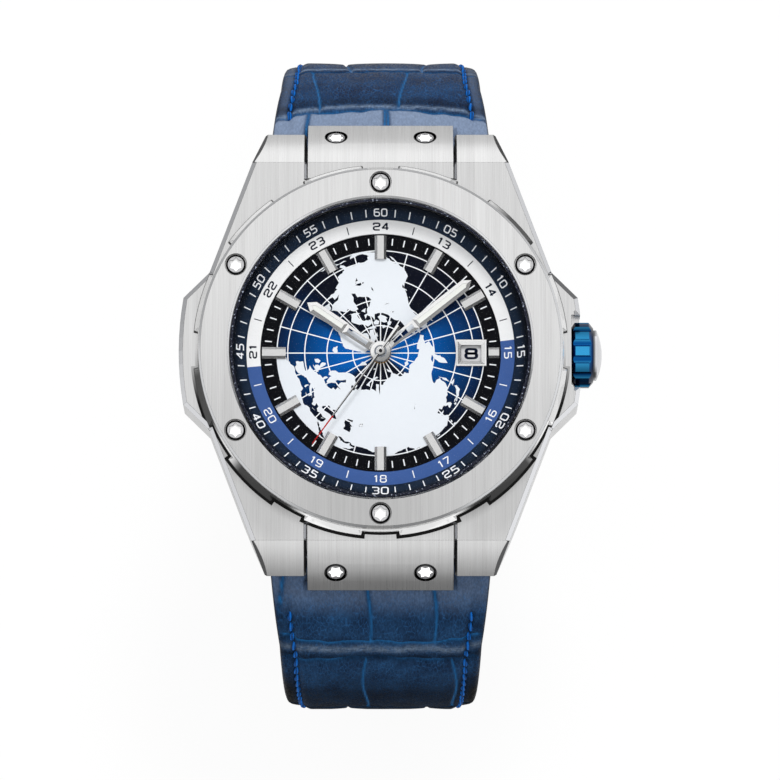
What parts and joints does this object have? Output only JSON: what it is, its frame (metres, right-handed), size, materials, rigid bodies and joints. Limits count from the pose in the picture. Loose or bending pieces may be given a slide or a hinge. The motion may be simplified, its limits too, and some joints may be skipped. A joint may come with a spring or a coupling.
{
  "type": "wristwatch",
  "caption": "Round wristwatch with a lobed bezel, 24-hour ring, centre map dial and date window, on a closed padded leather strap with a folding clasp.",
  "frame": {"origin": "middle of the flat foot of the closed clasp, under the axis of the hands", "axes": "+Z out of the dial, +X towards 3 o'clock and the crown, +Y towards 12 o'clock"},
  "size_m": [0.0464, 0.073, 0.0551],
  "materials": {
    "brushed_steel": "straight brushed",
    "polished_steel": "polished",
    "crystal": "clear",
    "black_rubber": "matt",
    "navy_paint": "satin",
    "ring_paint": "satin",
    "map_print": "printed, satin",
    "date_paint": "printed, matt",
    "blue_anodised": "anodised, glossy",
    "blue_leather": "embossed, glazed",
    "lining_leather": "smooth, matt",
    "brass": "satin",
    "nickel_plate": "striped",
    "spring_steel": "polished",
    "blued_steel": "heat-blued",
    "ruby": "polished"
  },
  "bodies": {
    "case": {"mid_case": "brushed_steel", "bezel": "brushed_steel", "lug_plate_12": "brushed_steel", "lug_plate_6": "brushed_steel", "case_back": "brushed_steel", "crown_tube": "brushed_steel", "movement_ring": "brushed_steel", "clasp_cover": "brushed_steel", "bezel_skirt": "polished_steel", "bezel_screws": "polished_steel", "lug_screws": "polished_steel", "back_screws": "polished_steel", "hour_markers": "polished_steel", "date_frame": "polished_steel", "rotor_bearing": "polished_steel", "clasp_bars": "polished_steel", "crystal": "crystal", "back_glass": "crystal", "bezel_gasket": "black_rubber", "crystal_gasket": "black_rubber", "back_gasket": "black_rubber", "minute_flange": "navy_paint", "dial": "navy_paint", "hour24_ring": "ring_paint", "map_disc": "map_print", "strap_12": "blue_leather", "strap_6": "blue_leather", "strap_lining_12": "lining_leather", "strap_lining_6": "lining_leather", "main_plate": "nickel_plate", "train_bridge": "nickel_plate", "barrel_bridge": "nickel_plate", "balance_cock": "nickel_plate", "jewels": "ruby"},
    "seconds": {"seconds_hand": "polished_steel", "fourth_wheel": "brass"},
    "minutes": {"minute_hand": "polished_steel", "cannon_pinion": "spring_steel"},
    "hours": {"hour_hand": "polished_steel", "hour_wheel": "brass"},
    "motion": {"minute_wheel": "brass"},
    "centre": {"centre_wheel": "brass"},
    "third": {"third_wheel": "brass"},
    "barrel_drum": {"barrel": "brass", "mainspring": "spring_steel"},
    "escape": {"escape_wheel": "brass"},
    "fork": {"pallet_fork": "spring_steel"},
    "balance": {"balance_wheel": "brass", "hairspring": "blued_steel"},
    "winding_rotor": {"rotor": "nickel_plate"},
    "date": {"date_disc": "date_paint"},
    "crown_carrier": {"crown_gasket": "black_rubber"},
    "crown_knob": {"crown": "blue_anodised", "crown_cap": "polished_steel", "winding_stem": "spring_steel"},
    "middle_blade": {"clasp_middle_blade": "polished_steel", "clasp_fold_pin": "polished_steel"},
    "inner_blade": {"clasp_inner_blade": "polished_steel"},
    "button_left": {"clasp_button_left": "polished_steel"},
    "button_right": {"clasp_button_right": "polished_steel"}
  },
  "joints": [
    {"name": "seconds_turn", "type": "hinge", "parent": "case", "child": "seconds", "pos_m": [0, 0, 0.0471], "axis": [0, 0, -1], "continuous": true},
    {"name": "minute_turn", "type": "hinge", "parent": "case", "child": "minutes", "pos_m": [0, 0, 0.0471], "axis": [0, 0, -1], "continuous": true},
    {"name": "hour_turn", "type": "hinge", "parent": "case", "child": "hours", "pos_m": [0, 0, 0.0471], "axis": [0, 0, -1], "continuous": true},
    {"name": "minute_wheel_turn", "type": "hinge", "parent": "case", "child": "motion", "pos_m": [-0.00226, -0.00082, 0.0471], "axis": [0, 0, -1], "continuous": true},
    {"name": "centre_turn", "type": "hinge", "parent": "case", "child": "centre", "pos_m": [0, 0, 0.0471], "axis": [0, 0, -1], "continuous": true},
    {"name": "third_turn", "type": "hinge", "parent": "case", "child": "third", "pos_m": [0.00304, -0.00176, 0.0471], "axis": [0, 0, -1], "continuous": true},
    {"name": "barrel_turn", "type": "hinge", "parent": "case", "child": "barrel_drum", "pos_m": [-0.0037, 0.00441, 0.0471], "axis": [0, 0, -1], "continuous": true},
    {"name": "escape_turn", "type": "hinge", "parent": "case", "child": "escape", "pos_m": [-0.00118, -0.00325, 0.0471], "axis": [0, 0, -1], "continuous": true},
    {"name": "fork_rock", "type": "hinge", "parent": "case", "child": "fork", "pos_m": [-0.00202, -0.00554, 0.0471], "axis": [0, 0, -1], "range_deg": [-5, 5]},
    {"name": "balance_swing", "type": "hinge", "parent": "case", "child": "balance", "pos_m": [-0.00315, -0.00865, 0.0471], "axis": [0, 0, -1], "range_deg": [-270, 270], "stiffness_Nm_per_rad": 0.00000023},
    {"name": "rotor_turn", "type": "hinge", "parent": "case", "child": "winding_rotor", "pos_m": [0, 0, 0.0471], "axis": [0, 0, -1], "continuous": true},
    {"name": "date_turn", "type": "hinge", "parent": "case", "child": "date", "pos_m": [0, 0, 0.0471], "axis": [0, 0, -1], "continuous": true},
    {"name": "crown_pull", "type": "slide", "parent": "case", "child": "crown_carrier", "axis": [1, 0, 0], "range_m": [0, 0.0015]},
    {"name": "crown_spin", "type": "hinge", "parent": "crown_carrier", "child": "crown_knob", "pos_m": [0.022, 0, 0.0486], "axis": [1, 0, 0], "continuous": true},
    {"name": "middle_fold", "type": "hinge", "parent": "case", "child": "middle_blade", "pos_m": [0, -0.015, 0.0022], "axis": [1, 0, 0], "range_deg": [0, 50]},
    {"name": "inner_fold", "type": "hinge", "parent": "middle_blade", "child": "inner_blade", "pos_m": [0, 0.015, 0.0031], "axis": [1, 0, 0], "range_deg": [-50, 0]},
    {"name": "left_button_press", "type": "slide", "parent": "case", "child": "button_left", "axis": [1, 0, 0], "range_m": [0, 0.0008], "stiffness_N_per_m": 200, "springref_m": -0.0005},
    {"name": "right_button_press", "type": "slide", "parent": "case", "child": "button_right", "axis": [-1, 0, 0], "range_m": [0, 0.0008], "stiffness_N_per_m": 200, "springref_m": -0.0005}
  ],
  "couplings": [
    {"joint": "hour_turn", "follows": "minute_turn", "ratio": 0.083333},
    {"joint": "minute_wheel_turn", "follows": "minute_turn", "ratio": -0.33333},
    {"joint": "third_turn", "follows": "seconds_turn", "ratio": -0.13333},
    {"joint": "centre_turn", "follows": "seconds_turn", "ratio": 0.016667},
    {"joint": "barrel_turn", "follows": "seconds_turn", "ratio": -0.002381},
    {"joint": "escape_turn", "follows": "seconds_turn", "ratio": -12},
    {"joint": "inner_fold", "follows": "middle_fold", "ratio": -1}
  ]
}
